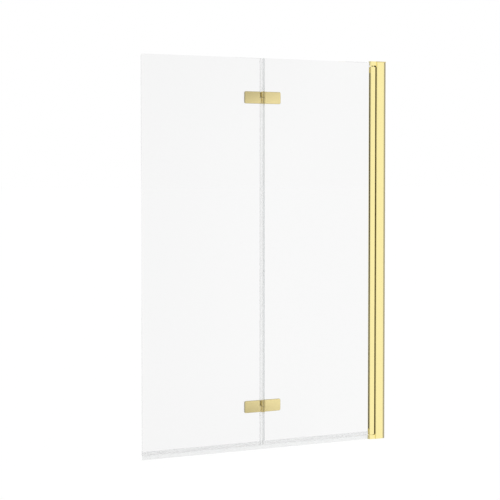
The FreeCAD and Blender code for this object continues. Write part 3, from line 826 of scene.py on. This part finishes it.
def middle_section(seals, low, high, legs):
    """Outline in x and y of the middle seal: web, fin and, if asked, two legs on the inner pane."""
    edge_x = inner_pane[0].x
    web = edge_x - seals.middle_wall
    outer = half_glass + seals.middle_wall
    inner = half_glass + seals.glass_clearance
    bed = edge_x - seals.glass_clearance
    leg = edge_x + seals.middle_leg
    fin = high.y - seals.middle_wall
    edge = seals.soft_edge
    corners = [(web, -outer, edge)]
    if legs:
        corners += [
            (leg, -outer, edge),
            (leg, -inner, edge),
            (bed, -inner, seals.bed_edge),
            (bed, inner, seals.bed_edge),
            (leg, inner, edge),
            (leg, outer, edge),
            (edge_x, outer, edge),
        ]
    else:
        corners += [(edge_x, -outer, edge)]
    corners += [
        (edge_x, high.y, edge),
        (low.x, high.y, edge),
        (low.x, fin, edge),
        (web, fin, seals.fold_edge),
    ]
    corners = np.array(corners)
    return rounded_outline(corners[:, :2], corners[:, 2], SEAL_CORNER_POINTS)


class BATHSCREEN_OT_middle_seal(Operator):
    """Build the upright seal between the panes"""

    bl_idname = "bath_screen.middle_seal"
    bl_label = "Middle seal"

    def execute(self, context):
        seals = context.scene.bath_screen_seals
        low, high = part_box("middle_seal")
        leg_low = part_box("inner_bottom_seal")[1].z + seals.seal_stop
        shells = [
            (along_z(middle_section(seals, low, high, True), leg_low, high.z), "capped", 0),
            (along_z(middle_section(seals, low, high, False), low.z, leg_low), "capped", 0),
        ]
        make_piece("middle_seal_soft", shells, ["fold_seal"], "inner_panel", "clear_seal", "middle_seal")
        return {"FINISHED"}


class BATHSCREEN_OT_jamb_seal(Operator):
    """Build the ribbed strip between jamb and post"""

    bl_idname = "bath_screen.jamb_seal"
    bl_label = "Jamb seal"

    def execute(self, context):
        seals = context.scene.bath_screen_seals
        low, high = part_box("jamb_seal")
        # The face stands at low + depth (1 - |sin(pi n s)|), with s from 0 to 1 across n ribs.
        share = np.linspace(0, 1, RIB_POINTS * seals.rib_count + 1)
        face = low.x + seals.rib_depth * (1 - np.abs(np.sin(np.pi * seals.rib_count * share)))
        across = low.y + share * (high.y - low.y)
        ribs = np.stack([face, across], axis=-1)
        outline = np.vstack([ribs, [(high.x, high.y), (high.x, low.y)]])
        shells = [(along_z(outline, low.z, high.z), "capped", 0)]
        # The strip's dark brown is painted shade of the gap between jamb and post
        make_piece("jamb_seal_ribbed", shells, ["dark_seal"], "wall_side", "dark_seal", "jamb_seal")
        return {"FINISHED"}


def seen_by(tree, *kinds):
    """Value that is 1 for the named kinds of ray."""
    path = tree.nodes.new("ShaderNodeLightPath")
    value = path.outputs[kinds[0]]
    for kind in kinds[1:]:
        either = new_node(tree, "ShaderNodeMath", operation="MAXIMUM")
        tree.links.new(value, either.inputs[0])
        tree.links.new(path.outputs[kind], either.inputs[1])
        value = either.outputs[0]
    return value


def make_world(stage):
    """White surround for what is seen, and an even light for the rest."""
    world = bpy.data.worlds.new("white_room")
    world.use_nodes = True
    tree = world.node_tree
    tree.nodes.clear()
    light = new_node(tree, "ShaderNodeBackground", Color=(1, 1, 1, 1), Strength=stage.world_light)
    sight = new_node(tree, "ShaderNodeBackground", Color=(1, 1, 1, 1), Strength=1.0)
    mix = tree.nodes.new("ShaderNodeMixShader")
    result = tree.nodes.new("ShaderNodeOutputWorld")
    tree.links.new(seen_by(tree, *SIGHT), mix.inputs["Fac"])
    tree.links.new(light.outputs[0], mix.inputs[1])
    tree.links.new(sight.outputs[0], mix.inputs[2])
    tree.links.new(mix.outputs[0], result.inputs["Surface"])
    bpy.context.scene.world = world


def make_sheet(name, corner, side, rise, material, tone=None):
    """Flat stage sheet: corner + u side + v rise on a grid of u and v from 0 to 1.

    The tone, a function of place, is kept as an attribute of the points.
    """
    share = np.linspace(0, 1, SHEET_POINTS)
    u, v = (axis[..., None] for axis in np.meshgrid(share, share))
    points = (np.asarray(corner) + u * np.asarray(side) + v * np.asarray(rise)).reshape(-1, 3)
    index = np.arange(SHEET_POINTS**2).reshape(SHEET_POINTS, SHEET_POINTS)
    faces = np.stack([index[:-1, :-1], index[:-1, 1:], index[1:, 1:], index[1:, :-1]], axis=-1)
    mesh = bpy.data.meshes.new(name)
    mesh.from_pydata(points.tolist(), [], faces.reshape(-1, 4).tolist())
    if tone:
        values = mesh.attributes.new("tone", "FLOAT", "POINT")
        values.data.foreach_set("value", tone(points).astype(np.float32))
    mesh.materials.append(material)
    sheet = bpy.data.objects.new(name, mesh)
    bpy.context.scene.collection.objects.link(sheet)
    return sheet


def floor_paint(stage):
    """Pale floor that is white where it is seen and still takes a shadow."""
    material, tree, shader = new_material("pale_floor")
    tone = place_group(tree, slow_mottle_group(), FLOOR_MOTTLE_SCALE).outputs["Tone"]
    toned_colour(tree, tone, [FLOOR_TONE] * 3, FLOOR_MOTTLE_DEPTH, shader.inputs["Base Color"])
    shader.inputs["Roughness"].default_value = FLOOR_ROUGHNESS
    shader.inputs["Specular IOR Level"].default_value = 0.0
    glow = new_node(tree, "ShaderNodeEmission", Color=(1, 1, 1, 1), Strength=stage.floor_glow)
    seen = new_node(tree, "ShaderNodeMath", operation="MULTIPLY")
    seen.inputs[1].default_value = FLOOR_GLOW_SHARE
    mix = tree.nodes.new("ShaderNodeMixShader")
    tree.links.new(seen_by(tree, *SIGHT), seen.inputs[0])
    tree.links.new(seen.outputs[0], mix.inputs["Fac"])
    tree.links.new(shader.outputs["BSDF"], mix.inputs[1])
    tree.links.new(glow.outputs[0], mix.inputs[2])
    tree.links.new(mix.outputs[0], tree.nodes["Material Output"].inputs["Surface"])
    return material


def card_paint():
    """Grey of a card, as bright as the tone of its points, that shows only after one reflection."""
    material, tree, shader = new_material("grey_card")
    tree.nodes.remove(shader)
    tone = new_node(tree, "ShaderNodeAttribute", attribute_name="tone")
    glow = new_node(tree, "ShaderNodeEmission", Color=(1, 1, 1, 1))
    open_air = tree.nodes.new("ShaderNodeBsdfTransparent")
    path = tree.nodes.new("ShaderNodeLightPath")
    reflected = new_node(tree, "ShaderNodeMath", operation="COMPARE")
    reflected.inputs[1].default_value = CARD_REFLECTIONS
    reflected.inputs[2].default_value = CARD_REFLECTIONS / 2
    mix = tree.nodes.new("ShaderNodeMixShader")
    tree.links.new(tone.outputs["Fac"], glow.inputs["Strength"])
    tree.links.new(path.outputs["Glossy Depth"], reflected.inputs[0])
    tree.links.new(reflected.outputs[0], mix.inputs["Fac"])
    tree.links.new(open_air.outputs[0], mix.inputs[1])
    tree.links.new(glow.outputs[0], mix.inputs[2])
    tree.links.new(mix.outputs[0], tree.nodes["Material Output"].inputs["Surface"])
    return material


def smooth_step(value, low, high):
    """Rises from 0 at low to 1 at high as 3 t^2 - 2 t^3."""
    t = np.clip((value - low) / (high - low), 0, 1)
    return t * t * (3 - 2 * t)


def mid_height(z):
    """Weight of a card's dimness: 1 about the object, and 0 towards the card's foot and top."""
    return smooth_step(z, *CARD_FOOT_FADE) - smooth_step(z, *CARD_TOP_FADE)


def front_tone(stage):
    """Tone of the front card: dim at the left, white at its right rim, and dimmer high and low."""
    left_fade = (0.4, 1.3)
    right_fade = (1.4, FRONT_CARD_X[1])
    rim_fade = (FRONT_CARD_X[0], -4.0)
    middle, even_half, end_fall = 0.54, 0.6, 0.7

    def tone(points):
        x, z = points[:, 0], points[:, 2]
        left = stage.front_dim * (1 - smooth_step(x, *left_fade))
        ends = stage.edge_dim * np.clip((np.abs(z - middle) - even_half) / end_fall, 0, 1)
        dim = 1 - (1 - left) * (1 - ends * (1 - smooth_step(x, *right_fade)))
        return 1 - dim * mid_height(z) * smooth_step(x, *rim_fade)

    return tone


def right_tone(stage):
    """Tone of the right card: dim about the object's height, and white towards its rim."""
    near_fade = (RIGHT_CARD_Y[0], -1.4)
    far_fade = (2.3, RIGHT_CARD_Y[1])

    def tone(points):
        y, z = points[:, 1], points[:, 2]
        across = smooth_step(y, *near_fade) - smooth_step(y, *far_fade)
        return 1 - stage.right_dim * mid_height(z) * across

    return tone


def post_tone(stage):
    """Tone of the card that the post's side mirrors: a dim upright strip."""
    rim_fade = (-1.96, -1.9)

    def tone(points):
        x, z = points[:, 0], points[:, 2]
        return 1 - stage.post_dim * mid_height(z) * smooth_step(x, *rim_fade)

    return tone


def hinge_tone(stage):
    """Tone of the card that the leaves' sides mirror: two dim patches."""
    rim_fade = (HINGE_CARD_X[0], -2.6)
    upper_foot, upper_top = (0.9, 1.1), (1.7, 1.9)
    lower_top = (0.2, 0.4)

    def tone(points):
        x, z = points[:, 0], points[:, 2]
        upper = smooth_step(z, *upper_foot) - smooth_step(z, *upper_top)
        patch = np.maximum(upper, 1 - smooth_step(z, *lower_top))
        return 1 - stage.hinge_dim * mid_height(z) * patch * smooth_step(x, *rim_fade)

    return tone


def make_card(name, start, end, paint, tone, through_glass):
    """Upright card between two places in x and y.

    It shows in reflections, through a pane too if asked, and nowhere else.
    """
    side = (end[0] - start[0], end[1] - start[1], 0)
    card = make_sheet(name, (*start, CARD_FOOT), side, (0, 0, CARD_TOP - CARD_FOOT), paint, tone)
    card.visible_camera = False
    card.visible_diffuse = False
    card.visible_transmission = through_glass
    card.visible_shadow = False


def make_cards(stage):
    """Grey cards that give the gold its darker sides."""
    paint = card_paint()
    for name, x_span, tone in (
        ("post_card", POST_CARD_X, post_tone(stage)),
        ("hinge_card", HINGE_CARD_X, hinge_tone(stage)),
    ):
        make_card(name, (x_span[0], BACK_CARD_Y), (x_span[1], BACK_CARD_Y), paint, tone, True)
    near, far = RIGHT_CARD_Y
    make_card("right_card", (RIGHT_CARD_X, near), (RIGHT_CARD_X, far), paint, right_tone(stage), False)
    left, right = FRONT_CARD_X
    make_card("front_card", (left, FRONT_CARD_Y), (right, FRONT_CARD_Y), paint, front_tone(stage), False)


def make_camera(stage):
    """Camera at the eye point, level across and with no shift."""
    data = bpy.data.cameras.new("eye")
    data.lens = stage.camera_lens
    data.clip_end = CAMERA_RANGE
    eye = bpy.data.objects.new("eye", data)
    eye.location = stage.camera_place
    eye.rotation_euler = (math.pi / 2 - stage.camera_pitch, 0, -stage.camera_yaw)
    bpy.context.scene.collection.objects.link(eye)
    bpy.context.scene.camera = eye


def make_lamp(stage):
    """Soft lamp that lights the object and isn't seen."""
    lamp = bpy.data.lights.new("soft_key", "AREA")
    lamp.shape = "RECTANGLE"
    lamp.size = stage.key_width
    lamp.size_y = stage.key_height
    lamp.energy = stage.key_power
    key = bpy.data.objects.new("soft_key", lamp)
    key.location = stage.key_place
    key.rotation_euler = (math.pi / 2, 0, stage.key_turn)
    key.visible_camera = False
    key.visible_glossy = False
    key.visible_transmission = False
    bpy.context.scene.collection.objects.link(key)


class BATHSCREEN_OT_stage(Operator):
    """Set up the camera, the floor, the white surround and the soft light"""

    bl_idname = "bath_screen.stage"
    bl_label = "Stage"

    def execute(self, context):
        stage = context.scene.bath_screen_stage
        context.scene.view_settings.view_transform = "Standard"
        make_world(stage)
        make_camera(stage)
        side = stage.floor_size
        corner = (-side / 2, -side / 2, -stage.floor_drop)
        make_sheet("floor", corner, (side, 0, 0), (0, side, 0), floor_paint(stage))
        make_cards(stage)
        make_lamp(stage)
        return {"FINISHED"}


class BATHSCREEN_PT_panel(Panel):
    """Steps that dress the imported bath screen"""

    bl_label = "Bath screen"
    bl_idname = "BATHSCREEN_PT_panel"
    bl_space_type = "VIEW_3D"
    bl_region_type = "UI"
    bl_category = "Bath screen"

    def draw(self, context):
        for step in STEPS:
            self.layout.operator(step.bl_idname)


STEPS = (
    BATHSCREEN_OT_stage,
    BATHSCREEN_OT_finishes,
    BATHSCREEN_OT_hinge_leaves,
    BATHSCREEN_OT_hinge_gaskets,
    BATHSCREEN_OT_bottom_seals,
    BATHSCREEN_OT_middle_seal,
    BATHSCREEN_OT_jamb_seal,
)
SETTINGS = {
    "bath_screen_colours": BathScreenColours,
    "bath_screen_hinge": BathScreenHinge,
    "bath_screen_seals": BathScreenSeals,
    "bath_screen_stage": BathScreenStage,
}


def register():
    for settings in (*SETTINGS.values(), *STEPS, BATHSCREEN_PT_panel):
        bpy.utils.register_class(settings)
    for name, settings in SETTINGS.items():
        setattr(bpy.types.Scene, name, PointerProperty(type=settings))


def unregister():
    for name in SETTINGS:
        delattr(bpy.types.Scene, name)
    for settings in (BATHSCREEN_PT_panel, *reversed(STEPS), *SETTINGS.values()):
        bpy.utils.unregister_class(settings)


def main():
    register()
    for step in STEPS:
        group, name = step.bl_idname.split(".")
        getattr(getattr(bpy.ops, group), name)()


if __name__ == "__main__":
    main()
